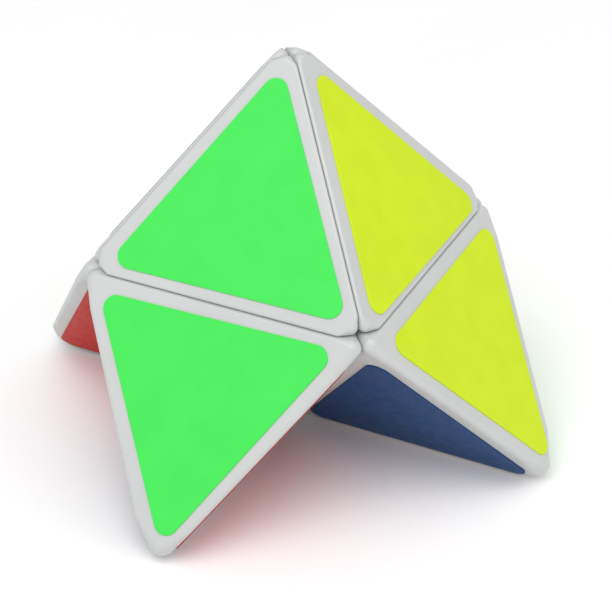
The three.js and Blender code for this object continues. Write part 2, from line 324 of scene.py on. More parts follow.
def swept_tube(name: str, path: Sequence[Vector], radius: float, facets: int) -> bpy.types.Mesh:
    """Sweeps a round section along a path and closes both ends with a dome.

    Args:
        name: Name of the mesh.
        path: Points on the middle line.
        radius: Radius of the section.
        facets: Sides of the section.

    Returns:
        A closed mesh.
    """
    form = bmesh.new()
    befores, afters = [path[0], *path[:-1]], [*path[1:], path[-1]]
    tangents = [(after - before).normalized() for before, after in zip(befores, afters)]
    across = tangents[0].orthogonal().normalized()
    angles = [2 * math.pi * i / facets for i in range(facets)]
    rings = []
    for point, tangent in zip(path, tangents):
        across = (across - tangent * across.dot(tangent)).normalized()
        up = tangent.cross(across)
        spokes = [across * math.cos(angle) + up * math.sin(angle) for angle in angles]
        rings.append([form.verts.new(point + radius * spoke) for spoke in spokes])
    for lower, upper in zip(rings, rings[1:]):
        for i in range(facets):
            k = (i + 1) % facets
            form.faces.new((lower[i], lower[k], upper[k], upper[i]))
    for ring, outwards, point in ((rings[0], -tangents[0], path[0]), (rings[-1], tangents[-1], path[-1])):
        tip = form.verts.new(point + outwards * radius * DOME_SHARE)
        for i in range(facets):
            form.faces.new((ring[i], ring[(i + 1) % facets], tip))
    bmesh.ops.recalc_face_normals(form, faces=form.faces)
    return mesh_of(name, form)


def evaluated(base: bpy.types.Object, helpers: Iterable[bpy.types.Object] = ()) -> bpy.types.Mesh:
    """Applies an object's modifiers, and removes the object and its helpers."""
    depsgraph = bpy.context.evaluated_depsgraph_get()
    result = bpy.data.meshes.new_from_object(base.evaluated_get(depsgraph))
    for leftover in (base, *helpers):
        bpy.data.objects.remove(leftover)
    return result


def linked(name: str, mesh: bpy.types.Mesh) -> bpy.types.Object:
    """A new object of a mesh, in the scene."""
    item = bpy.data.objects.new(name, mesh)
    bpy.context.scene.collection.objects.link(item)
    return item


def carve(body: bpy.types.Mesh, *steps: Step) -> bpy.types.Mesh:
    """Joins and cuts a closed mesh with others.

    Args:
        body: The mesh to start from.
        steps: Pairs of a boolean operation (UNION, DIFFERENCE or INTERSECT) and a closed mesh.

    Returns:
        The new mesh.
    """
    base = linked("carved", body)
    tools = []
    for operation, mesh in steps:
        tool = linked("tool", mesh)
        tool.hide_render = True
        modifier = base.modifiers.new("carve", "BOOLEAN")
        modifier.operation = operation
        modifier.solver = "MANIFOLD"
        modifier.object = tool
        tools.append(tool)
    return evaluated(base, tools)


def shaded(mesh: bpy.types.Mesh, sharp_degrees: float = SHARP_DEGREES) -> bpy.types.Mesh:
    """Shades a mesh smooth except across sharp edges, with its large flats kept flat.

    Args:
        mesh: The mesh to shade.
        sharp_degrees: Edges that turn by more than this stay sharp.

    Returns:
        The shaded mesh.
    """
    mesh.shade_smooth()
    mesh.set_sharp_from_angle(angle=math.radians(sharp_degrees))
    base = linked("shaded", mesh)
    modifier = base.modifiers.new("flats", "WEIGHTED_NORMAL")
    modifier.mode = "FACE_AREA"
    modifier.weight = 100
    modifier.keep_sharp = True
    return evaluated(base)


def ball_mesh(radius: float, facets: int = BALL_FACETS) -> bpy.types.Mesh:
    """A sphere about the middle."""
    profile = arc_profile(radius, 0.0, math.pi, facets // 2)
    profile[0].x = profile[-1].x = 0.0
    return turned_mesh("ball", profile, facets)


def rod_mesh(radius: float, low: float, high: float) -> bpy.types.Mesh:
    """An upright rod between two heights."""
    profile = [Vector((0.0, low)), Vector((radius, low)), Vector((radius, high)), Vector((0.0, high))]
    return turned_mesh("rod", profile, ROD_FACETS)


def turn_mesh(mesh: bpy.types.Mesh, turn: Matrix) -> bpy.types.Mesh:
    """Turns a mesh about the middle, in place."""
    mesh.transform(turn.to_4x4())
    return mesh


# ---------------------------------------------------------------------------------------------
# Rounded convex bodies: the skin stretched over balls that touch the body's planes from inside
# ---------------------------------------------------------------------------------------------


@dataclass(frozen=True)
class Plane:
    """A plane that bounds a body.

    Attributes:
        normal: Unit direction out of the body.
        distance: Distance from the middle along the normal.
    """

    normal: Vector
    distance: float

    @classmethod
    def facing(cls, direction: Sequence[float], distance: float) -> "Plane":
        """A plane that faces along a direction."""
        return cls(Vector(direction).normalized(), distance)


def meeting_point(planes: Sequence[Plane], inset: float) -> Vector:
    """The point where three planes meet once each is moved inwards.

    Args:
        planes: Three planes, or more that meet in one point, of which the first three are used.
        inset: Distance that each plane moves inwards.

    Returns:
        The meeting point.
    """
    rows = Matrix([plane.normal for plane in planes[:3]])
    return rows.inverted() @ Vector([plane.distance - inset for plane in planes[:3]])


@dataclass
class RoundedHull:
    """Collects points on balls inside a body and stretches a skin over them.

    Attributes:
        steps: Facets across each rounding.
        points: The points collected so far.
    """

    steps: int
    points: list[Vector] = field(default_factory=list)

    def shares(self) -> list[float]:
        """How far each step lies along a rounding, from 0 to 1."""
        return [i / self.steps for i in range(self.steps + 1)]

    def corner(self, ring: Sequence[Plane], radius: float, inset: float = 0.0) -> None:
        """Adds the ball that rounds a corner.

        Args:
            ring: The three or four planes that meet there, in order round the corner.
            radius: Radius of the ball.
            inset: Distance that each plane is first moved inwards.
        """
        centre = meeting_point(ring, inset + radius)
        first, second, third, last = (ring[min(i, len(ring) - 1)].normal for i in range(4))
        for share in self.shares():
            start, end = first.slerp(second, share), last.slerp(third, share)
            for along in self.shares():
                self.points.append(centre + radius * start.slerp(end, along))

    def edge(self, first: Plane, second: Plane, radius: float, near: Vector) -> None:
        """Adds the arc that rounds an edge at the place nearest to a point.

        Args:
            first: One plane of the edge.
            second: The other plane.
            radius: Radius of the rounding.
            near: The point, close to the edge.
        """
        cosine = first.normal.dot(second.normal)
        to_first = first.distance - radius - first.normal.dot(near)
        to_second = second.distance - radius - second.normal.dot(near)
        scale = 1 - cosine * cosine
        centre = near + first.normal * ((to_first - cosine * to_second) / scale)
        centre += second.normal * ((to_second - cosine * to_first) / scale)
        for share in self.shares():
            self.points.append(centre + radius * first.normal.slerp(second.normal, share))

    def sphere(self, centre: Vector, radius: float) -> None:
        """Adds a whole ball about a point."""
        rows = 2 * self.steps
        for i in range(rows + 1):
            for j in range(2 * rows):
                lean, round_angle = math.pi * i / rows, math.pi * j / rows
                across = Vector((math.cos(round_angle), math.sin(round_angle), 0.0)) * math.sin(lean)
                self.points.append(centre + radius * (across + UP * math.cos(lean)))

    def skin(self, name: str) -> bpy.types.Mesh:
        """Stretches the skin, and merges the facets that lie in one plane.

        Args:
            name: Name of the mesh.

        Returns:
            A closed mesh.
        """
        form = bmesh.new()
        for point in self.points:
            form.verts.new(point)
        bmesh.ops.remove_doubles(form, verts=form.verts, dist=SAME_POINT)
        hull = bmesh.ops.convex_hull(form, input=form.verts, use_existing_faces=False)
        inside = [item for item in hull["geom_interior"] if isinstance(item, bmesh.types.BMVert)]
        bmesh.ops.delete(form, geom=inside, context="VERTS")
        flat = math.radians(FLAT_DEGREES)
        bmesh.ops.dissolve_limit(form, angle_limit=flat, verts=form.verts, edges=form.edges)
        bmesh.ops.recalc_face_normals(form, faces=form.faces)
        return mesh_of(name, form)


# ---------------------------------------------------------------------------------------------
# Placing pieces
# ---------------------------------------------------------------------------------------------


@dataclass(frozen=True)
class Layout:
    """Places taken from the frame.

    Attributes:
        middle: Middle of the mechanism, in metres.
        half: Distance from the middle to the middle of a sharp pyramid edge, in millimetres.
    """

    middle: Vector
    half: float

    @classmethod
    def read(cls, edge_round: float) -> "Layout":
        """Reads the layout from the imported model's box, which is as deep below the middle as beside it.

        Args:
            edge_round: Rounding of the legs' outer edges, in millimetres.

        Returns:
            The layout of this frame.
        """
        low, high = (Vector(corner) for corner in CAD_BOX)
        height = (high.x - low.x) / 2
        middle = Vector(((low.x + high.x) / 2, (low.y + high.y) / 2, low.z + height))
        return cls(middle, height / MM + (math.sqrt(3) - 1) * edge_round)

    @property
    def face_distance(self) -> float:
        """Distance from the middle to each outer face, in millimetres."""
        return self.half / math.sqrt(3)

    @property
    def face_edge(self) -> float:
        """Length of a small face's sharp edge, in millimetres."""
        return self.half * math.sqrt(2)

    def place(self, mesh: bpy.types.Mesh, turn: Matrix) -> bpy.types.Mesh:
        """Copies a mesh into the frame.

        Args:
            mesh: Mesh in millimetres about the middle.
            turn: Rotation about the middle.

        Returns:
            A new mesh in metres, where the frame has it.
        """
        placed = mesh.copy()
        placed.transform(Matrix.Translation(self.middle) @ Matrix.Scale(MM, 4) @ turn.to_4x4())
        return placed

    def put(
        self,
        node: str,
        mesh: bpy.types.Mesh,
        turn: Matrix,
        body: Body,
        finish: Dressing,
    ) -> bpy.types.Object:
        """Puts a fine piece in the place of a CAD node, and reports it.

        Args:
            node: The CAD node that the piece stands for.
            mesh: Mesh in millimetres about the middle.
            turn: Rotation about the middle.
            body: The body that the piece rides on.
            finish: The piece's material, and the record's slot that it comes from.

        Returns:
            The piece.
        """
        material, slot = finish
        piece = linked(f"fine_{node}", self.place(mesh, turn))
        piece.data.name = piece.name
        piece.data.materials.clear()
        piece.data.materials.append(material)
        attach(piece, body.value)
        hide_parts(node)
        LOG.info("%s: %d faces, rides on %s", piece.name, len(piece.data.polygons), body.value)
        return piece


# ---------------------------------------------------------------------------------------------
# Finishes
# ---------------------------------------------------------------------------------------------


class Recipe:
    """Nodes of one material, added from the place on the piece to the shader."""

    def __init__(self, name: str) -> None:
        """Starts a material with a plain shader.

        Args:
            name: Name of the material.
        """
        self.material = bpy.data.materials.new(name)
        self.material.use_nodes = True
        self.tree = self.material.node_tree
        self.shader = self.tree.nodes["Principled BSDF"]
        self.place = self.add("ShaderNodeTexCoord").outputs["Object"]

    def add(self, kind: str, **sources: object) -> bpy.types.Node:
        """Adds a node.

        Args:
            kind: Type of the node.
            sources: Values or output sockets for its inputs, with _ for a space in their names.

        Returns:
            The node.
        """
        node = self.tree.nodes.new(kind)
        for name, source in sources.items():
            self.feed(node, name.replace("_", " "), source)
        return node

    def feed(self, node: bpy.types.Node, name: str, source: object) -> None:
        """Sets an input, or links an output socket to it."""
        if isinstance(source, bpy.types.NodeSocket):
            self.tree.links.new(source, node.inputs[name])
        else:
            node.inputs[name].default_value = source

    def shade(self, **sources: object) -> None:
        """Sets or links inputs of the shader, with _ for a space in their names."""
        for name, source in sources.items():
            self.feed(self.shader, name.replace("_", " "), source)

    def noise(self, size: float, detail: float, stretch: Sequence[float] = (1, 1, 1)) -> bpy.types.NodeSocket:
        """Noise over the piece.

        Args:
            size: Size of a blotch, in millimetres.
            detail: How many finer layers it holds.
            stretch: How many times finer it is along each axis.

        Returns:
            A value from 0 to 1, mostly near 0.5.
        """
        place = self.add("ShaderNodeMapping", Vector=self.place, Scale=tuple(stretch)).outputs["Vector"]
        node = self.add("ShaderNodeTexNoise", Vector=place, Scale=1 / (size * MM), Detail=detail)
        return node.outputs["Fac"]

    def spread(self, source: bpy.types.NodeSocket, low: float, high: float) -> bpy.types.NodeSocket:
        """Spreads the middle of a noise over a range of values."""
        node = self.add("ShaderNodeMapRange", Value=source, To_Min=low, To_Max=high)
        for name, value in zip(("From Min", "From Max"), NOISE_MIDDLE):
            self.feed(node, name, value)
        return node.outputs["Result"]

    def ramp(self, source: bpy.types.NodeSocket, *stops: tuple[float, Colour]) -> bpy.types.NodeSocket:
        """Colours a value.

        Args:
            source: The value.
            stops: Places from 0 to 1, each with its colour.

        Returns:
            The colour.
        """
        node = self.add("ShaderNodeValToRGB", Fac=source)
        elements = node.color_ramp.elements
        while len(elements) < len(stops):
            elements.new(1.0)
        for element, (place, colour) in zip(elements, stops):
            element.position = place
            element.color = (*colour, 1.0)
        return node.outputs["Color"]

    def tint(self, colour: bpy.types.NodeSocket, shade: bpy.types.NodeSocket) -> bpy.types.NodeSocket:
        """Multiplies one colour by another."""
        node = self.tree.nodes.new("ShaderNodeMix")
        node.data_type = "RGBA"
        node.blend_type = "MULTIPLY"
        factor, first, second = node.inputs[0], node.inputs[6], node.inputs[7]
        factor.default_value = 1.0
        self.tree.links.new(colour, first)
        self.tree.links.new(shade, second)
        return node.outputs[2]

    def openness(self, reach: float) -> bpy.types.NodeSocket:
        """How open the surface is.

        Args:
            reach: How far other surfaces count, in millimetres.

        Returns:
            A value from 0 in a crease to 1 in the open.
        """
        return self.add("ShaderNodeAmbientOcclusion", Distance=reach * MM).outputs["AO"]

    def bump(
        self, height: bpy.types.NodeSocket, depth: float, over: bpy.types.NodeSocket | None = None
    ) -> bpy.types.NodeSocket:
        """Raises the surface by a value.

        Args:
            height: The value.
            depth: Height of a value of 1, in millimetres.
            over: Normal of a coarser bump under this one.

        Returns:
            The bumped normal.
        """
        node = self.add("ShaderNodeBump", Height=height, Distance=depth * MM)
        if over:
            self.feed(node, "Normal", over)
        return node.outputs["Normal"]


@dataclass(frozen=True)
class MouldedPlastic:
    """Moulded plastic with faint clouds in its colour, a fine satin grain and painted shade, tinted like
    dust, in its creases.

    Attributes:
        name: Name of the material.
        light: Colour of its lighter clouds.
        dark: Colour of its darker clouds.
        dust_and_shade: Painted shade with a dust tint: what a deep crease takes off its colour.
        dust_and_shade_reach: Width of the crease that holds the painted shade, in millimetres.
        roughness: Lowest and highest roughness.
        grain: Depth of the fine grain, in millimetres.
        waviness: Depth of the slow waves that cooling leaves, in millimetres.
        cloud_size: Size of the clouds in its colour.
        satin_size: Size of the patches of roughness.
        grain_size: Size of the grain.
        wave_size: Length of the slow waves.
    """

    name: str
    light: Colour
    dark: Colour
    dust_and_shade: Colour
    dust_and_shade_reach: float
    roughness: tuple[float, float]
    grain: float
    waviness: float
    cloud_size: float = 14.0
    satin_size: float = 3.0
    grain_size: float = 0.22
    wave_size: float = 9.0

    def material(self) -> bpy.types.Material:
        """Builds the material."""
        recipe = Recipe(self.name)
        clouds = recipe.ramp(recipe.noise(self.cloud_size, 4), (0.35, self.dark), (0.65, self.light))
        # Painted shade: ambient occlusion darkens the creases towards a dust-tinted colour.
        crease_shade = recipe.ramp(recipe.openness(self.dust_and_shade_reach), (0.0, self.dust_and_shade), (0.9, (1.0, 1.0, 1.0)))
        waves = recipe.bump(recipe.noise(self.wave_size, 1), self.waviness)
        recipe.shade(
            Base_Color=recipe.tint(clouds, crease_shade),
            Roughness=recipe.spread(recipe.noise(self.satin_size, 5), *self.roughness),
            Normal=recipe.bump(recipe.noise(self.grain_size, 2), self.grain, waves),
            IOR=1.53,
        )
        return recipe.material


@dataclass(frozen=True)
class Vinyl:
    """Satin sticker vinyl with a faint grain, slow waves from the glue and a few hairline scratches.

    Attributes:
        hue: Colour of the vinyl.
        fade: How bright its darkest parts are, over the brightest ones.
        roughness: Lowest and highest roughness.
        print_size: Size of the blotches in its colour, in millimetres.
        satin_size: Size of the patches of roughness.
        scratches: Width and depth of the hairline scratches.
        grain: Width and depth of the grain.
        waves: Length and depth of the waves over the glue.
    """

    hue: Hue
    fade: float = 0.955
    roughness: tuple[float, float] = (0.40, 0.54)
    print_size: float = 5.0
    satin_size: float = 1.6
    scratches: tuple[float, float] = (0.35, 0.001)
    grain: tuple[float, float] = (0.16, 0.002)
    waves: tuple[float, float] = (6.0, 0.012)

    def material(self) -> bpy.types.Material:
        """Builds the material."""
        recipe = Recipe(self.hue.slot)
        bright = self.hue.value
        faded = tuple(self.fade * channel for channel in bright)
        scratch_width, scratch_depth = self.scratches
        grain_width, grain_depth = self.grain
        wave_length, wave_depth = self.waves
        waves = recipe.bump(recipe.noise(wave_length, 1), wave_depth)
        grain = recipe.bump(recipe.noise(grain_width, 2), grain_depth, waves)
        scratches = recipe.noise(scratch_width, 1, (1, 0.04, 0.04))
        recipe.shade(
            Base_Color=recipe.ramp(recipe.noise(self.print_size, 6), (0.35, faded), (0.62, bright)),
            Roughness=recipe.spread(recipe.noise(self.satin_size, 4), *self.roughness),
            Normal=recipe.bump(scratches, scratch_depth, grain),
            Specular_IOR_Level=0.2,
            IOR=1.5,
        )
        return recipe.material


@dataclass(frozen=True)
class PlatedSteel:
    """Zinc-plated steel, with drawing marks and small dull patches.

    Attributes:
        bright: Colour of the clean plating.
        dull: Colour of its dull patches.
        roughness: Lowest and highest roughness.
        patch_size: Size of the dull patches, in millimetres.
        satin_size: Size of the patches of roughness.
        marks: Width and depth of the drawing marks.
    """

    bright: Colour = (0.62, 0.63, 0.66)
    dull: Colour = (0.44, 0.43, 0.42)
    roughness: tuple[float, float] = (0.20, 0.38)
    patch_size: float = 0.8
    satin_size: float = 0.3
    marks: tuple[float, float] = (0.1, 0.003)

    def material(self) -> bpy.types.Material:
        """Builds the material."""
        recipe = Recipe(Slot.STEEL.value)
        width, depth = self.marks
        patches = recipe.noise(self.patch_size, 5)
        recipe.shade(
            Base_Color=recipe.ramp(patches, (0.38, self.dull), (0.56, self.bright)),
            Roughness=recipe.spread(recipe.noise(self.satin_size, 4), *self.roughness),
            Normal=recipe.bump(recipe.noise(width, 2, (1, 1, 0.1)), depth),
            Metallic=1.0,
        )
        return recipe.material


@dataclass(frozen=True)
class PaperSweep:
    """Pale paper that the puzzle stands on.

    Attributes:
        light: Colour of its lighter parts.
        dark: Colour of its darker parts.
        roughness: Lowest and highest roughness.
        cloud_size: Size of those parts, in millimetres.
        satin_size: Size of the patches of roughness.
        tooth: Width and depth of the paper's tooth.
    """

    light: Colour = (0.96, 0.96, 0.96)
    dark: Colour = (0.945, 0.945, 0.945)
    roughness: tuple[float, float] = (0.80, 0.92)
    cloud_size: float = 60.0
    satin_size: float = 20.0
    tooth: tuple[float, float] = (0.6, 0.01)

    def material(self) -> bpy.types.Material:
        """Builds the material."""
        recipe = Recipe("pale_paper")
        width, depth = self.tooth
        recipe.shade(
            Base_Color=recipe.ramp(recipe.noise(self.cloud_size, 3), (0.4, self.dark), (0.6, self.light)),
            Roughness=recipe.spread(recipe.noise(self.satin_size, 3), *self.roughness),
            Normal=recipe.bump(recipe.noise(width, 2), depth),
            Specular_IOR_Level=0.2,
        )
        return recipe.material


# ---------------------------------------------------------------------------------------------
# The outside
# ---------------------------------------------------------------------------------------------


@dataclass
class Shells:
    """White shells of the eight corner pieces, open towards the mechanism.

    Attributes:
        layout: Places taken from the frame.
        seam: Gap between neighbouring pieces, in millimetres.
        wall: Thickness of the walls.
        bore: Radius of the round hollow that clears the mechanism.
        seam_round: Rounding of the edges along the seams.
        edge_round: Rounding of the legs' outer edges.
        upper_round: Rounding of the upper pieces' outer corners.
        leg_round: Rounding of the legs' outer corners beside other pieces.
        point_round: Rounding of the legs' points.
        spread: Length of edge over which a corner's rounding grows, over the corner's own rounding.
        hollow_round: Rounding inside the hollow.
        steps: Facets across a rounding.
    """

    layout: Layout
    seam: float = 0.06
    wall: float = 1.6
    bore: float = 15.8
    seam_round: float = 0.35
    edge_round: float = 0.7
    upper_round: float = 1.0
    leg_round: float = 1.3
    point_round: float = 2.0
    spread: float = 4.5
    hollow_round: float = 0.4
    steps: int = 8

    def cut(self, direction: Sequence[float]) -> Plane:
        """A cut through the middle, half a seam clear of it."""
        return Plane.facing(direction, -self.seam / 2)

    def face(self, direction: Sequence[float]) -> Plane:
        """An outer face."""
        return Plane.facing(direction, self.layout.face_distance)

    def upper_mesh(self) -> bpy.types.Mesh:
        """The upper front left shell, which has one outer face."""
        cut_x, cut_y, cut_z = self.cut((1, 0, 0)), self.cut((0, 1, 0)), self.cut((0, 0, -1))
        face = self.face((-1, -1, 1))
        outer = [[cut_x, cut_y, face], [cut_y, cut_z, face], [cut_z, cut_x, face]]
        return self.shell_mesh({self.upper_round: outer, self.seam_round: [[cut_x, cut_y, cut_z]]})

    def leg_mesh(self) -> bpy.types.Mesh:
        """The front left leg's shell, which has three outer faces and ends in a point."""
        cut_x, cut_y, cut_z = self.cut((1, 0, 0)), self.cut((0, 1, 0)), self.cut((0, 0, 1))
        face, under_front, under_left = self.face((-1, -1, 1)), self.face((1, -1, -1)), self.face((-1, 1, -1))
        blunt = [
            [cut_z, face, under_left, cut_y],
            [cut_z, face, under_front, cut_x],
            [cut_x, under_front, under_left, cut_y],
        ]
        return self.shell_mesh(
            {
                self.leg_round: blunt,
                self.seam_round: [[cut_x, cut_y, cut_z]],
                self.point_round: [[face, under_front, under_left]],
            }
        )

    def shell_mesh(self, corners: dict[float, list[list[Plane]]]) -> bpy.types.Mesh:
        """A rounded body, hollowed out and opened towards the mechanism.

        Args:
            corners: Rings of planes round its corners, by the corners' rounding.

        Returns:
            The shell.
        """
        rings = [ring for group in corners.values() for ring in group]
        inside = sum((meeting_point(ring, 0.0) for ring in rings), Vector()) / len(rings)
        outside = RoundedHull(self.steps)
        for radius, group in corners.items():
            for ring in group:
                outside.corner(ring, radius)
                self.blend_edges(outside, ring, radius, inside)
        hollow = RoundedHull(self.steps // 2)
        for ring in rings:
            hollow.corner(ring, self.hollow_round, self.wall)
        steps = ("DIFFERENCE", hollow.skin("hollow")), ("DIFFERENCE", ball_mesh(self.bore))
        return shaded(carve(outside.skin("shell"), *steps))

    def blend_edges(self, hull: RoundedHull, ring: list[Plane], radius: float, inside: Vector) -> None:
        """Ends a corner's rounding where its edges have their own.

        Args:
            hull: The body.
            ring: Planes round the corner.
            radius: The corner's rounding.
            inside: A point inside the body.
        """
        corner = meeting_point(ring, 0.0)
        for first, second in zip(ring, ring[1:] + ring[:1]):
            along = first.normal.cross(second.normal).normalized()
            if along.dot(inside - corner) < 0:
                along.negate()
            outer = min(first.distance, second.distance) > 0
            edge_round = self.edge_round if outer else self.seam_round
            if radius > edge_round:
                hull.edge(first, second, edge_round, corner + along * self.spread * radius)

    def build(self, dressed: Dressing) -> None:
        """Builds and dresses the eight shells.

        Args:
            dressed: Their plastic and slot.
        """
        upper, leg = self.upper_mesh(), self.leg_mesh()
        for corner in Corner:
            self.layout.put(f"upper_shell_{corner.label}", upper, corner.turn, Body.UPPER, dressed)
            self.layout.put(f"leg_shell_{corner.label}", leg, corner.turn, Body.LOWER, dressed)


@dataclass(frozen=True)
class Slip:
    """How far a sticker lies beside the middle of its face, and how far it is turned.

    Attributes:
        across: Distance to the right, seen from outside with the sticker's first corner up, in millimetres.
        up: Distance towards that corner.
        turn: Degrees counter-clockwise.
    """

    across: float = 0.0
    up: float = 0.0
    turn: float = 0.0

    @property
    def matrix(self) -> Matrix:
        """The slip of a flat sticker."""
        turn = Matrix.Rotation(math.radians(self.turn), 4, "Z")
        return Matrix.Translation((self.across, self.up, 0.0)) @ turn


SLIPS = {
    "sticker_upper_front_left": Slip(0.2, -0.1, 0.7),
    "sticker_upper_front_right": Slip(0.2, -0.9, -0.5),
    "sticker_leg_front_left_outer": Slip(-0.4, -0.5, 1.1),
    "sticker_leg_front_right_outer": Slip(-0.3, -0.2, 0.2),
    "sticker_leg_front_right_under_front": Slip(0.6, -0.3, -0.3),
    "sticker_leg_back_left_under_left": Slip(-0.2, -0.1, -0.4),
    "sticker_upper_back_left": Slip(-0.2, 0.1, 0.3),
    "sticker_leg_back_right_outer": Slip(0.2, -0.2, -0.5),
}


@dataclass
class Stickers:
    """Die-cut vinyl stickers, one on each outer face.

    Attributes:
        layout: Places taken from the frame.
        scale: Edge of the sticker over edge of the face, both sharp.
        corner: Radius of the sticker's corners, in millimetres.
        lift: Height of the sticker's back over the plastic.
        top: Height of its front over the plastic.
        cut_round: Rounding of the cut edge.
        steps: Facets across a corner.
        cut_steps: Facets across the cut edge.
    """

    layout: Layout
    scale: float = 0.831
    corner: float = 1.9
    lift: float = 0.01
    top: float = 0.20
    cut_round: float = 0.07
    steps: int = 20
    cut_steps: int = 4

    def outline(self, inset: float) -> list[Vector]:
        """Outline of the sticker, in its own plane with one corner up.

        Args:
            inset: Distance that the outline is moved inwards, in millimetres.

        Returns:
            Its points.
        """
        reach = self.layout.face_edge * self.scale / math.sqrt(3) - 2 * self.corner
        radius = self.corner - inset
        points = []
        for degrees in (90, 210, 330):
            middle = math.radians(degrees)
            for i in range(self.steps + 1):
                angle = middle + math.pi / 3 * (2 * i / self.steps - 1)
                x = reach * math.cos(middle) + radius * math.cos(angle)
                y = reach * math.sin(middle) + radius * math.sin(angle)
                points.append(Vector((x, y)))
        return points

    def levels(self) -> list[tuple[float, float]]:
        """Insets of the outline and their heights, from the back of the sticker to its front."""
        rise = [math.pi / 2 * i / self.cut_steps for i in range(self.cut_steps + 1)]
        return [(0.0, self.lift)] + [
            (self.cut_round * (1 - math.cos(a)), self.top - self.cut_round * (1 - math.sin(a))) for a in rise
        ]

    def flat_mesh(self) -> bpy.types.Mesh:
        """A sticker that lies flat, with its front up."""
        form = bmesh.new()
        rings = []
        for inset, height in self.levels():
            rings.append([form.verts.new((*point, height)) for point in self.outline(inset)])
        for lower, upper in zip(rings, rings[1:]):
            for i in range(len(lower)):
                k = (i + 1) % len(lower)
                form.faces.new((lower[i], lower[k], upper[k], upper[i]))
        form.faces.new(list(reversed(rings[0])))
        form.faces.new(rings[-1])
        bmesh.ops.recalc_face_normals(form, faces=form.faces)
        return mesh_of("sticker", form)

    def lie_on(self, corners: Sequence[Sequence[float]]) -> Matrix:
        """Where a flat sticker goes to lie on a face.

        Args:
            corners: The face's sharp corners over the half-length, counter-clockwise from outside.

        Returns:
            The move that brings one corner of the sticker towards the first corner.
        """
        apex, second, third = (Vector(corner) * self.layout.half for corner in corners)
        middle = (apex + second + third) / 3
        up = (apex - middle).normalized()
        out = (second - apex).cross(third - apex).normalized()
        return Matrix.Translation(middle) @ Matrix((up.cross(out), up, out)).transposed().to_4x4()

    def build(self) -> None:
        """Builds and dresses the sixteen stickers."""
        dressed = {hue: (Vinyl(hue).material(), hue.slot) for hue in Hue}
        flat = shaded(self.flat_mesh(), CURVED_SHARP_DEGREES)
        point = (-1, -1, -1)
        upper = self.lie_on([(0, 0, 1), (-1, 0, 0), (0, -1, 0)])
        outer = self.lie_on([point, (0, -1, 0), (-1, 0, 0)])
        under = self.lie_on([point, (0, 0, -1), (0, -1, 0)]), self.lie_on([point, (-1, 0, 0), (0, 0, -1)])
        for corner in Corner:
            leg = f"sticker_leg_{corner.label}"
            sides = Side.beside(corner, 0), Side.beside(corner, 3)
            places = [
                (f"sticker_upper_{corner.label}", upper, FACE_HUES[corner], Body.UPPER),
                (f"{leg}_outer", outer, FACE_HUES[corner], Body.LOWER),
            ]
            for side, move, hue in zip(sides, under, UNDER_HUES[corner]):
                places.append((f"{leg}_under_{side.label}", move, hue, Body.LOWER))
            for node, move, hue, body in places:
                laid = flat.copy()
                laid.transform(move @ SLIPS.get(node, Slip()).matrix)
                self.layout.put(node, laid, corner.turn, body, dressed[hue])


# ---------------------------------------------------------------------------------------------
# The mechanism
# ---------------------------------------------------------------------------------------------


@dataclass(frozen=True)
class Layers:
    """Spheres about the middle, and cones about the axes, that part the pieces of the mechanism.

    Attributes:
        ball: Radius of the core.
        foot_inner: Inside of the layer that holds every foot and stem.
        foot_outer: Its outside.
        lid_inner: Inside of the layer that holds the caps and the heads of the edge pieces.
        lid_outer: Its outside.
        foot_cone: Angle of the cones that part the feet and stems, from their axis.
        lid_cone: Angle of the cones that part the caps and heads.
        gap: Gap between neighbouring pieces, in millimetres.
        reach: Height of the cones, which is over that of any piece.
        facets: Facets round the spheres and cones.
    """

    ball: float = 7.4
    foot_inner: float = 7.8
    foot_outer: float = 10.7
    lid_inner: float = 11.2
    lid_outer: float = 14.4
    foot_cone: float = math.radians(71)
    lid_cone: float = math.radians(62)
    gap: float = 0.3
    reach: float = 20.0
    facets: int = 72

    def cone(self, axis: Axis, angle: float, side: int) -> bpy.types.Mesh:
        """The inside of a cone about an axis.

        Args:
            axis: The axis.
            angle: Angle from the axis.
            side: 1 to keep half a gap inside the true cone, and -1 to reach half a gap past it.

        Returns:
            A closed mesh.
        """
        apex = side * self.gap / 2 / math.sin(angle)
        rim = (self.reach - apex) * math.tan(angle)
        profile = [Vector((0.0, apex)), Vector((rim, self.reach)), Vector((0.0, self.reach))]
        return turn_mesh(turned_mesh("cone", profile, self.facets), axis.turn)

    def layer(self, inner: float, outer: float) -> bpy.types.Mesh:
        """The space between two spheres."""
        return carve(ball_mesh(outer, self.facets), ("DIFFERENCE", ball_mesh(inner, self.facets)))

    def part(
        self, radii: tuple[float, float], angle: float, holders: Sequence[Axis], others: Sequence[Axis] = ()
    ) -> bpy.types.Mesh:
        """The part of a layer that lies inside the cones of some axes and outside those of others.

        Args:
            radii: Inside and outside of the layer.
            angle: Angle of the cones.
            holders: Axes whose cones hold the part.
            others: Axes whose cones cut it away.

        Returns:
            A closed mesh.
        """
        inside = [("INTERSECT", self.cone(axis, angle, 1)) for axis in holders]
        outside = [("DIFFERENCE", self.cone(axis, angle, -1)) for axis in others]
        return carve(self.layer(*radii), *inside, *outside)

    def foot_part(self, holders: Sequence[Axis], others: Sequence[Axis] = ()) -> bpy.types.Mesh:
        """A part of the layer of feet and stems."""
        return self.part((self.foot_inner, self.foot_outer), self.foot_cone, holders, others)

    def lid_part(self, holders: Sequence[Axis], others: Sequence[Axis] = ()) -> bpy.types.Mesh:
        """A part of the layer of caps and heads."""
        return self.part((self.lid_inner, self.lid_outer), self.lid_cone, holders, others)

    def side_angle(self, radius: float, cone: float) -> float:
        """Angle from a cap's axis at which a sphere meets the cap's side, half a gap clear of a cone."""
        return QUARTER_TURN - cone - math.asin(self.gap / 2 / radius)


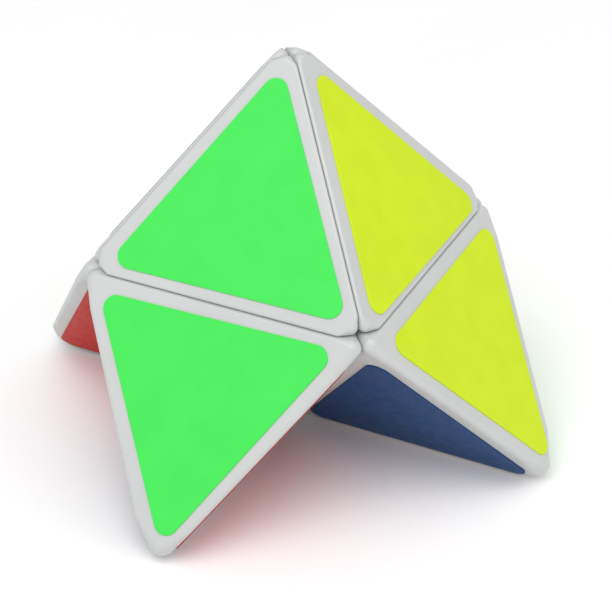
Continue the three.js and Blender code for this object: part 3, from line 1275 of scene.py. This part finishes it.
@dataclass
class Core:
    """Core ball, with a chamfered hole for each screw and each peg.

    Attributes:
        layout: Places taken from the frame.
        layers: Spheres and cones of the mechanism.
        screw_hole: Radius of the screw holes, in millimetres.
        screw_hole_end: Distance of their bottoms from the middle.
        peg_hole: Radius of the peg holes.
        peg_hole_end: Distance of their bottoms from the middle.
        chamfer: Width of the chamfer round each hole.
    """

    layout: Layout
    layers: Layers
    screw_hole: float = 1.15
    screw_hole_end: float = 2.0
    peg_hole: float = 2.0
    peg_hole_end: float = 4.3
    chamfer: float = 0.3

    def hole(self, axis: Axis, radius: float, end: float) -> Step:
        """Cuts a hole along an axis.

        Args:
            axis: The axis.
            radius: Radius of the hole.
            end: Distance of its bottom from the middle.

        Returns:
            The cut.
        """
        mouth = math.sqrt(self.layers.ball**2 - radius**2)
        low, high = mouth - self.chamfer, mouth + self.chamfer
        profile = [(0.0, end), (radius, end), (radius, low), (radius + 2 * self.chamfer, high), (0.0, high)]
        cutter = turned_mesh("hole", [Vector(point) for point in profile], ROD_FACETS)
        return "DIFFERENCE", turn_mesh(cutter, axis.turn)

    def build(self, dressed: Dressing) -> None:
        """Builds and dresses the core.

        Args:
            dressed: Its plastic and slot.
        """
        holes = [self.hole(axis, self.screw_hole, self.screw_hole_end) for axis in SPRUNG_BODIES]
        holes += [self.hole(axis, self.peg_hole, self.peg_hole_end) for axis in FIXED_AXES]
        mesh = shaded(carve(ball_mesh(self.layers.ball), *holes))
        self.layout.put("core", mesh, Matrix.Identity(3), Body.LOWER, dressed)


@dataclass
class Caps:
    """Round centre caps: three with a well for a spring and a screw, and three with a peg in the core.

    Attributes:
        layout: Places taken from the frame.
        layers: Spheres and cones of the mechanism.
        web_top: Distance of the spring's seat from the middle, in millimetres.
        well: Radius of the well.
        web_hole: Radius of the screw's hole in the web.
        peg: Radius of the pegs.
        peg_end: Distance of their ends from the middle.
        edge_round: Rounding of the caps' outer edges.
        small_round: Rounding of their inner edges.
        dome_steps: Steps across the dome.
        facets: Facets round the axis.
    """

    layout: Layout
    layers: Layers
    web_top: float = 9.4
    well: float = 2.4
    web_hole: float = 1.2
    peg: float = 1.7
    peg_end: float = 4.6
    edge_round: float = 0.35
    small_round: float = 0.15
    dome_steps: int = 10
    facets: int = 72

    def outline(self, rim_angle: float, rim_round: float) -> list[ProfilePoint]:
        """Outside of a cap, from the foot of its stem to its dome.

        Args:
            rim_angle: Angle from the axis at which the dome ends.
            rim_round: Rounding of that end.

        Returns:
            Points of the profile, each with its rounding.
        """
        layers = self.layers
        stem = layers.foot_inner / math.tan(layers.foot_cone) - layers.gap / 2 / math.sin(layers.foot_cone)
        under = (
            layers.side_angle(layers.lid_inner, layers.foot_cone),
            layers.side_angle(layers.lid_inner, layers.lid_cone),
        )
        brim, edge = arc_profile(layers.lid_inner, *under, 1)
        side = layers.side_angle(layers.lid_outer, layers.lid_cone)
        dome = arc_profile(layers.lid_outer, side, rim_angle, self.dome_steps)
        return [
            (Vector((stem, layers.foot_inner)), self.small_round),
            (brim, self.small_round),
            (edge, self.edge_round),
            (dome[0], self.edge_round),
            *((point, 0.0) for point in dome[1:-1]),
            (dome[-1], rim_round),
        ]

    def sprung_mesh(self) -> bpy.types.Mesh:
        """A cap with its well up."""
        rim = math.asin(self.well / self.layers.lid_outer)
        inside = [
            (Vector((self.well, self.web_top)), self.small_round),
            (Vector((self.web_hole, self.web_top)), self.small_round),
            (Vector((self.web_hole, self.layers.foot_inner)), self.small_round),
        ]
        profile = rounded_profile([*self.outline(rim, self.edge_round), *inside], closed=True)
        return shaded(turned_mesh("sprung_cap", profile, self.facets))

    def fixed_mesh(self) -> bpy.types.Mesh:
        """A cap with its peg down."""
        peg = [
            (Vector((0.0, self.peg_end)), 0.0),
            (Vector((self.peg, self.peg_end)), self.edge_round),
            (Vector((self.peg, self.layers.foot_inner)), self.small_round),
        ]
        profile = rounded_profile([*peg, *self.outline(0.0, 0.0)], closed=False)
        return shaded(turned_mesh("fixed_cap", profile, self.facets))

    def build(self, dressed: Dressing) -> None:
        """Builds and dresses the six caps.

        Args:
            dressed: Their plastic and slot.
        """
        sprung, fixed = self.sprung_mesh(), self.fixed_mesh()
        for axis, body in SPRUNG_BODIES.items():
            self.layout.put(f"cap_{axis.label}", sprung, axis.turn, body, dressed)
        for axis in FIXED_AXES:
            self.layout.put(f"cap_{axis.label}", fixed, axis.turn, Body.LOWER, dressed)


@dataclass
class Screws:
    """Pan-head screws with a cross recess, a plain neck and a cut thread.

    Attributes:
        layout: Places taken from the frame.
        tip: Distance of the tip from the middle, in millimetres.
        neck: Radius of the plain neck.
        root: Radius of the thread's root.
        crest: Radius of its crest.
        pitch: Height of one turn of the thread.
        thread: Distances from the middle between which the thread runs.
        seat: Distance of the head's seat.
        head: Radius of the head.
        head_height: Height of the head.
        blunt: Radius of the tip, and its rounding.
        shank_share: Radius of the shank inside the thread, over the radius at the thread's root.
        run_out: Length by which that shank stops short of the thread's ends.
        shank_round: Rounding where the tip widens into the shank.
        step_round: Rounding of the steps under the head.
        head_round: Rounding of the head's side.
        crown: Radius of the head's crown over the head's, its depth below the top, and its rounding.
        recess: Length, width and depth of each arm of the recess.
        recess_shares: Length of an arm above and below the top, over its length.
        sharp_degrees: Angle over which an edge is shaded sharp.
        rows: Rows of facets in one turn of the thread.
        facets: Facets round the axis.
    """

    layout: Layout
    tip: float = 2.6
    neck: float = 0.92
    root: float = 0.82
    crest: float = 1.06
    pitch: float = 0.6
    thread: tuple[float, float] = (3.5, 9.0)
    seat: float = 12.4
    head: float = 2.1
    head_height: float = 1.4
    blunt: tuple[float, float] = (0.25, 0.1)
    shank_share: float = 0.9
    run_out: float = 0.1
    shank_round: float = 0.3
    step_round: float = 0.15
    head_round: float = 0.4
    crown: tuple[float, float, float] = (0.72, 0.12, 0.5)
    recess: tuple[float, float, float] = (2.4, 0.5, 0.75)
    recess_shares: tuple[float, float] = (1.6, 0.4)
    sharp_degrees: float = 40.0
    rows: int = 6
    facets: int = 32

    def thread_mesh(self) -> bpy.types.Mesh:
        """The threaded length, whose rows of facets climb round it."""
        low, high = self.thread
        step = self.pitch / self.rows
        count = math.ceil((high - low) / step) + 2 * self.rows
        form = bmesh.new()
        columns = []
        for j in range(self.facets):
            angle = 2 * math.pi * j / self.facets
            column = []
            for i in range(count + 1):
                height = low + (i - self.rows) * step + self.pitch * j / self.facets
                free = low < height < high
                wave = abs(2 * (i % self.rows) / self.rows - 1) if free else 0.0
                radius = self.root + (self.crest - self.root) * max(0.0, 1.5 * wave - 0.5)
                height = min(max(height, low), high)
                column.append(form.verts.new((radius * math.cos(angle), radius * math.sin(angle), height)))
            columns.append(column)
        for j, column in enumerate(columns):
            ahead = columns[(j + 1) % self.facets]
            shift = self.rows if j == self.facets - 1 else 0
            for i in range(count - shift):
                form.faces.new((column[i], ahead[i + shift], ahead[i + shift + 1], column[i + 1]))
        bmesh.ops.remove_doubles(form, verts=form.verts, dist=SAME_THREAD_POINT)
        bmesh.ops.dissolve_degenerate(form, edges=form.edges, dist=SAME_THREAD_POINT)
        bmesh.ops.holes_fill(form, edges=form.edges)
        bmesh.ops.recalc_face_normals(form, faces=form.faces)
        return mesh_of("thread", form)

    def arm(self, turn: float) -> Step:
        """Cuts one arm of the recess, which narrows downwards.

        Args:
            turn: Angle of the arm about the axis.

        Returns:
            The cut.
        """
        length, width, depth = self.recess
        top = self.seat + self.head_height
        hull = RoundedHull(0)
        for height, share in zip((top + depth, top - depth), self.recess_shares):
            for x, y in product((-0.5, 0.5), repeat=2):
                hull.points.append(Vector((x * share * length, y * width, height)))
        return "DIFFERENCE", turn_mesh(hull.skin("arm"), Matrix.Rotation(turn, 3, "Z"))

    def mesh(self) -> bpy.types.Mesh:
        """The screw, with its head up. A thinner shank runs through the threaded length."""
        top, (low, high) = self.seat + self.head_height, self.thread
        shank, (blunt, blunt_round) = self.shank_share * self.root, self.blunt
        crown, drop, crown_round = self.crown
        corners = [
            (0.0, self.tip, 0.0),
            (blunt, self.tip, blunt_round),
            (shank, low + self.run_out, self.shank_round),
            (shank, high - self.run_out, 0.0),
            (self.neck, high - self.run_out / 2, 0.0),
            (self.neck, self.seat, self.step_round),
            (self.head, self.seat, self.step_round),
            (self.head, self.seat + 0.5 * self.head_height, self.head_round),
            (crown * self.head, top - drop, crown_round),
            (0.0, top, 0.0),
        ]
        profile = rounded_profile([(Vector(corner[:2]), corner[2]) for corner in corners], closed=False)
        cuts = self.arm(0.0), self.arm(QUARTER_TURN)
        body = turned_mesh("screw", profile, self.facets)
        return shaded(carve(body, ("UNION", self.thread_mesh()), *cuts), self.sharp_degrees)

    def build(self, dressed: Dressing) -> None:
        """Builds and dresses the three screws.

        Args:
            dressed: Their steel and slot.
        """
        mesh = self.mesh()
        for axis in SPRUNG_BODIES:
            self.layout.put(f"screw_{axis.label}", mesh, axis.turn, Body.LOWER, dressed)


@dataclass
class Springs:
    """Coil springs with closed end coils, squeezed between the caps' webs and the screws' heads.

    Attributes:
        layout: Places taken from the frame.
        coil: Radius of the coil to the middle of the wire, in millimetres.
        wire: Radius of the wire.
        low: Distance of the wire's lowest middle point from the middle of the mechanism.
        high: Distance of its highest middle point.
        end_turns: Turns of each closed end.
        open_turns: Turns between the ends.
        closed_pitch: Height of one turn of a closed end.
        seat: Distance of the end that stays still.
        keep: Share of the spring's length that is left once its cap has floated out.
        turn_steps: Steps of the path in one turn.
        wire_facets: Facets round the wire.
    """

    layout: Layout
    coil: float = 1.7
    wire: float = 0.21
    low: float = 9.68
    high: float = 12.12
    end_turns: float = 1.0
    open_turns: float = 2.5
    closed_pitch: float = 0.45
    # seat: Distance of the end that stays still. Not used.
    seat: float = 12.33
    # keep: Share of the spring's length that is left once its cap has floated out. Not used.
    keep: float = 0.825
    turn_steps: int = 32
    wire_facets: int = 12

    def height(self, turns: float) -> float:
        """Height of the wire after a number of turns."""
        total = 2 * self.end_turns + self.open_turns
        end_rise = self.end_turns * self.closed_pitch
        if turns < self.end_turns:
            return self.low + turns * self.closed_pitch
        if turns > total - self.end_turns:
            return self.high - (total - turns) * self.closed_pitch
        share = (turns - self.end_turns) / self.open_turns
        return self.low + end_rise + share * (self.high - self.low - 2 * end_rise)

    def mesh(self) -> bpy.types.Mesh:
        """The spring, upright."""
        total = 2 * self.end_turns + self.open_turns
        path = []
        for i in range(round(total * self.turn_steps) + 1):
            turns = i / self.turn_steps
            angle = 2 * math.pi * turns
            x, y = self.coil * math.cos(angle), self.coil * math.sin(angle)
            path.append(Vector((x, y, self.height(turns))))
        return shaded(swept_tube("spring", path, self.wire, self.wire_facets), CURVED_SHARP_DEGREES)

    def build(self, dressed: Dressing) -> None:
        """Builds and dresses the three springs, each with a mesh of its own.

        Args:
            dressed: Their steel and slot.
        """
        mesh = self.mesh()
        for axis in SPRUNG_BODIES:
            spring = self.layout.put(f"spring_{axis.label}", mesh, axis.turn, Body.LOWER, dressed)
            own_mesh(spring)


@dataclass
class InnerEdges:
    """Hidden edge pieces, each a head between two caps on a neck over a foot.

    Attributes:
        layout: Places taken from the frame.
        layers: Spheres and cones of the mechanism.
        neck: Radius of the neck, in millimetres.
        overlap: How far the neck reaches into the head and the foot.
    """

    layout: Layout
    layers: Layers
    neck: float = 2.8
    overlap: float = 0.6

    def mesh(self) -> bpy.types.Mesh:
        """The edge piece between the right-hand and the upright axis."""
        holders, others = (Axis.RIGHT, Axis.TOP), (Axis.FRONT, Axis.BACK)
        low, high = self.layers.foot_outer - self.overlap, self.layers.lid_inner + self.overlap
        neck = turn_mesh(rod_mesh(self.neck, low, high), Matrix.Rotation(math.pi / 4, 3, "Y"))
        foot, head = self.layers.foot_part(holders, others), self.layers.lid_part(holders, others)
        return shaded(carve(foot, ("UNION", neck), ("UNION", head)))

    def build(self, dressed: Dressing) -> None:
        """Builds and dresses the twelve edge pieces.

        Args:
            dressed: Their plastic and slot.
        """
        mesh = self.mesh()
        sides = (Axis.FRONT, Axis.RIGHT, Axis.BACK, Axis.LEFT)
        pairs = [(end, side) for end in (Axis.TOP, Axis.BOTTOM) for side in sides]
        pairs += [(end, side) for end in (Axis.FRONT, Axis.BACK) for side in (Axis.LEFT, Axis.RIGHT)]
        for end, side in pairs:
            turn = Matrix((side.direction, end.direction.cross(side.direction), end.direction)).transposed()
            body = Body.UPPER if end is Axis.TOP else Body.LOWER
            self.layout.put(f"edge_{end.label}_{side.label}", mesh, turn, body, dressed)


@dataclass
class Feet:
    """Inner feet of the corner pieces: a hook, a three-sided stalk and the plate that closes the shell.

    Attributes:
        layout: Places taken from the frame.
        layers: Spheres and cones of the mechanism.
        plate_inner: Radius of the plate's inside, in millimetres.
        plate_outer: Radius of its outside.
        plate_inset: Distance of its edges from the cuts between the corner pieces.
        stalk_angle: Angle from the stalk's middle line to its edges.
        stalk_round: Rounding of those edges.
        overlap: How far the stalk reaches into the hook and the plate.
        post: Radius of the post on a leg's plate, at its foot and at its end.
        post_end: Distance of its end from the middle.
        post_round: Rounding of its end.
        clear: How far the block that cuts a plate goes past its outside.
        steps: Facets across the stalk's roundings.
    """

    layout: Layout
    layers: Layers
    plate_inner: float = 15.3
    plate_outer: float = 16.4
    plate_inset: float = 2.05
    stalk_angle: float = math.radians(11.5)
    stalk_round: float = 0.4
    overlap: float = 0.3
    post: tuple[float, float] = (2.2, 1.9)
    post_end: float = 34.0
    post_round: float = 0.5
    clear: float = 1.0
    steps: int = 4

    def stalk(self) -> bpy.types.Mesh:
        """The stalk along the diagonal between the three positive axes."""
        hull = RoundedHull(self.steps)
        for distance in (self.layers.foot_outer - self.overlap, self.plate_inner + self.overlap):
            reach = distance * math.tan(self.stalk_angle) - 2 * self.stalk_round
            for axis in (Axis.RIGHT, Axis.BACK, Axis.TOP):
                out = (axis.direction - DIAGONAL * axis.direction.dot(DIAGONAL)).normalized()
                hull.sphere(DIAGONAL * distance + out * reach, self.stalk_round)
        return hull.skin("stalk")

    def plate(self) -> bpy.types.Mesh:
        """The plate, an eighth of a sphere's skin with its edges cut back."""
        ends = self.plate_inset, self.plate_outer + self.clear
        octant = RoundedHull(0, [Vector(corner) for corner in product(ends, repeat=3)])
        sphere = self.layers.layer(self.plate_inner, self.plate_outer)
        return carve(sphere, ("INTERSECT", octant.skin("octant")))

    def post_mesh(self) -> bpy.types.Mesh:
        """The post, along the same diagonal."""
        start, end = self.plate_inner + self.overlap, self.post_end
        foot, tip = self.post
        profile = [
            (Vector((0.0, start)), 0.0),
            (Vector((foot, start)), 0.0),
            (Vector((tip, end)), self.post_round),
            (Vector((0.0, end)), 0.0),
        ]
        mesh = turned_mesh("post", rounded_profile(profile, closed=False), ROD_FACETS)
        return turn_mesh(mesh, UP.rotation_difference(DIAGONAL).to_matrix())

    def build(self, dressed: Dressing) -> None:
        """Builds and dresses the eight feet.

        Args:
            dressed: Their plastic and slot.
        """
        hook = self.layers.foot_part((Axis.RIGHT, Axis.BACK, Axis.TOP))
        foot = carve(hook, ("UNION", self.stalk()), ("UNION", self.plate()))
        leg = shaded(carve(foot, ("UNION", self.post_mesh())))
        upper = shaded(foot)
        to_upper = Matrix.Rotation(math.pi, 3, "Z")
        to_leg = Matrix.Rotation(math.pi, 3, Vector((1.0, -1.0, 0.0)))
        for corner in Corner:
            self.layout.put(f"upper_foot_{corner.label}", upper, corner.turn @ to_upper, Body.UPPER, dressed)
            self.layout.put(f"leg_foot_{corner.label}", leg, corner.turn @ to_leg, Body.LOWER, dressed)


# ---------------------------------------------------------------------------------------------
# Studio
# ---------------------------------------------------------------------------------------------


def direction(turn: float, rise: float) -> Vector:
    """Direction by degrees round from the right-hand axis and degrees over the horizontal."""
    round_angle, lean = math.radians(turn), math.radians(rise)
    across = Vector((math.cos(round_angle), math.sin(round_angle), 0.0))
    return across * math.cos(lean) + UP * math.sin(lean)


@dataclass(frozen=True)
class Viewpoint:
    """The camera.

    Attributes:
        turn: Degrees round from the right-hand axis.
        rise: Degrees over the horizontal.
        distance: Distance from the middle, in half-lengths.
        aim: Point that it looks at, in half-lengths about the middle.
        roll: Degrees that it is rolled.
        lens: Focal length, in millimetres on a 36 mm sensor.
    """

    turn: float = -108.75
    rise: float = 30.26
    distance: float = 9.0
    aim: tuple[float, float, float] = (0.0089, -0.1922, -0.2814)
    roll: float = 0.34
    lens: float = 115.13

    def build(self, layout: Layout) -> None:
        """Places the camera and makes it the scene's.

        Args:
            layout: Places taken from the frame.
        """
        half = layout.half * MM
        away = direction(self.turn, self.rise) * self.distance
        look = Vector(self.aim) - away
        data = bpy.data.cameras.new("camera")
        data.lens = self.lens
        data.sensor_width = 36.0
        data.clip_start = 0.01
        camera = linked("camera", data)
        turn = look.to_track_quat("-Z", "Y").to_matrix().to_4x4()
        roll = Matrix.Rotation(math.radians(self.roll), 4, "Z")
        camera.matrix_world = Matrix.Translation(layout.middle + away * half) @ turn @ roll
        bpy.context.scene.camera = camera


@dataclass(frozen=True)
class Softbox:
    """A square soft light that faces the puzzle.

    Attributes:
        name: Name of the light.
        turn: Degrees round from the right-hand axis.
        rise: Degrees over the horizontal.
        distance: Distance from the middle, in metres.
        size: Edge of the square, in metres.
        power: Power, in watts.
    """

    name: str
    turn: float
    rise: float
    distance: float
    size: float
    power: float

    def build(self, layout: Layout) -> None:
        """Places the light.

        Args:
            layout: Places taken from the frame.
        """
        data = bpy.data.lights.new(self.name, "AREA")
        data.energy = self.power
        data.size = self.size
        light = linked(self.name, data)
        away = direction(self.turn, self.rise)
        turn = away.to_track_quat("Z", "Y").to_matrix().to_4x4()
        light.matrix_world = Matrix.Translation(layout.middle + away * self.distance) @ turn


@dataclass
class Studio:
    """Pale sweep, soft lights and camera.

    Attributes:
        layout: Places taken from the frame.
        sweep_radius: Radius of the flat part of the paper, in metres.
        sweep_facets: Facets round the paper.
        sky: Strength of the even light from all sides.
        lights: The softboxes.
        viewpoint: The camera.
    """

    layout: Layout
    sweep_radius: float = 2.5
    sweep_facets: int = 96
    sky: float = 0.62
    lights: tuple[Softbox, ...] = (
        Softbox("key", -130.0, 62.0, 0.8, 0.7, 4.2),
        Softbox("fill", -50.0, 38.0, 0.9, 0.8, 1.4),
    )
    viewpoint: Viewpoint = Viewpoint()

    def paper(self) -> bpy.types.Object:
        """Lays the paper under the points."""
        form = bmesh.new()
        bmesh.ops.create_circle(form, cap_ends=True, radius=self.sweep_radius, segments=self.sweep_facets)
        sheet = linked("paper", mesh_of("paper", form))
        sheet.data.materials.append(PaperSweep().material())
        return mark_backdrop(sheet)

    def build(self) -> None:
        """Builds the studio round the puzzle."""
        self.paper()
        world = bpy.data.worlds.new("studio")
        world.use_nodes = True
        background = world.node_tree.nodes["Background"]
        background.inputs["Color"].default_value = (1.0, 1.0, 1.0, 1.0)
        background.inputs["Strength"].default_value = self.sky
        scene = bpy.context.scene
        scene.world = world
        scene.view_settings.view_transform = "Standard"
        for light in self.lights:
            light.build(self.layout)
        self.viewpoint.build(self.layout)


WHITE_PLASTIC = MouldedPlastic(
    name=Slot.WHITE.value,
    light=(0.545, 0.560, 0.552),
    dark=(0.520, 0.535, 0.527),
    # Painted shade in the creases, with a faint dust tint.
    dust_and_shade=(0.93, 0.92, 0.91),
    dust_and_shade_reach=0.8,
    roughness=(0.30, 0.40),
    grain=0.0015,
    waviness=0.01,
)
INNER_PLASTIC = MouldedPlastic(
    name=Slot.INNER.value,
    light=(0.56, 0.57, 0.58),
    dark=(0.51, 0.52, 0.53),
    # Painted shade in the creases, with a dust tint.
    dust_and_shade=(0.72, 0.69, 0.65),
    dust_and_shade_reach=0.7,
    roughness=(0.40, 0.55),
    grain=0.002,
    waviness=0.004,
)


def main() -> None:
    """Builds the puzzle and its studio."""
    logging.basicConfig(level=logging.INFO, format="%(message)s")
    layout, layers = Layout.read(Shells.edge_round), Layers()
    Studio(layout).build()
    Shells(layout).build((WHITE_PLASTIC.material(), Slot.WHITE.value))
    Stickers(layout).build()
    inner = INNER_PLASTIC.material(), Slot.INNER.value
    steel = PlatedSteel().material(), Slot.STEEL.value
    Core(layout, layers).build(inner)
    Caps(layout, layers).build(inner)
    Screws(layout).build(steel)
    Springs(layout).build(steel)
    InnerEdges(layout, layers).build(inner)
    Feet(layout, layers).build(inner)


if __name__ == "__main__":
    main()
